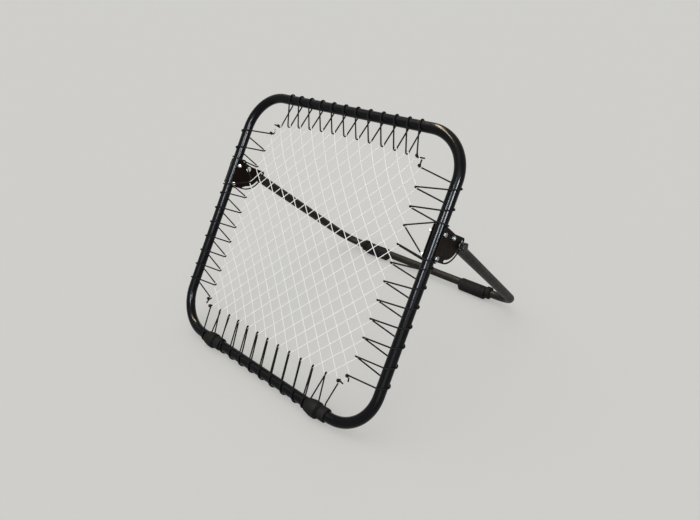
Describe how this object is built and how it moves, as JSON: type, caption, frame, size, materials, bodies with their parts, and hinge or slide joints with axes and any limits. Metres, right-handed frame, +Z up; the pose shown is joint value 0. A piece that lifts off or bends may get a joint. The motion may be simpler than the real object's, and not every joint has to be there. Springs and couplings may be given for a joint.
{
  "type": "pitch back rebounder",
  "caption": "Leaning square tube frame on a folding U-shaped leg, holding a knotted net on laced elastic cords that sends a thrown ball back to the player.",
  "frame": {"origin": "on the ground, in the middle of the footprint of the whole object as it stands open", "axes": "+Z up, -Y towards the player who faces the net, +X to the right of a person who looks at the net from the player's side"},
  "size_m": [1.02, 1.062, 0.872],
  "materials": {
    "frame_powder_coat": "black powder coat on steel tube, semi-gloss",
    "leg_powder_coat": "dull dark grey-brown coat on steel tube",
    "bracket_paint": "black-brown paint on pressed steel",
    "foot_rubber": "matt black moulded rubber",
    "zinc_plate": "bright zinc plate",
    "knob_plastic": "black moulded plastic",
    "net_twine": "white braided twine",
    "elastic_cord": "black woven cover over elastic"
  },
  "bodies": {
    "frame": {"frame_hoop_tube": "frame_powder_coat", "frame_bottom_tube": "frame_powder_coat", "front_foot_left": "foot_rubber", "front_foot_right": "foot_rubber", "bracket_plate_left_outer": "bracket_paint", "bracket_plate_left_inner": "bracket_paint", "bracket_plate_right_outer": "bracket_paint", "bracket_plate_right_inner": "bracket_paint", "frame_bolt_left_upper": "zinc_plate", "frame_bolt_left_lower": "zinc_plate", "frame_bolt_right_upper": "zinc_plate", "frame_bolt_right_lower": "zinc_plate", "cap_nut_left_upper": "zinc_plate", "cap_nut_left_lower": "zinc_plate", "cap_nut_right_upper": "zinc_plate", "cap_nut_right_lower": "zinc_plate", "pivot_bolt_left": "zinc_plate", "pivot_bolt_right": "zinc_plate", "pivot_nut_left": "zinc_plate", "pivot_nut_right": "zinc_plate", "rebound_net": "net_twine", "lacing_top": "elastic_cord", "lacing_bottom": "elastic_cord", "lacing_right": "elastic_cord", "lacing_left": "elastic_cord"},
    "leg": {"leg_arm_left": "leg_powder_coat", "leg_arm_right": "leg_powder_coat", "leg_cross_tube": "leg_powder_coat", "rear_foot_left": "foot_rubber", "rear_foot_right": "foot_rubber", "lock_bolt_left": "zinc_plate", "lock_bolt_right": "zinc_plate", "lock_washer_left": "zinc_plate", "lock_washer_right": "zinc_plate"},
    "left_knob": {"lock_knob_left": "knob_plastic"},
    "right_knob": {"lock_knob_right": "knob_plastic"}
  },
  "joints": [
    {"name": "leg_fold", "type": "hinge", "parent": "frame", "child": "leg", "pos_m": [0, -0.13695, 0.56866], "axis": [1, 0, 0], "range_deg": [-75, 10]},
    {"name": "left_knob_turn", "type": "hinge", "parent": "leg", "child": "left_knob", "pos_m": [-0.498, -0.08012, 0.52126], "axis": [-1, 0, 0], "continuous": true},
    {"name": "right_knob_turn", "type": "hinge", "parent": "leg", "child": "right_knob", "pos_m": [0.498, -0.08012, 0.52126], "axis": [1, 0, 0], "continuous": true}
  ]
}
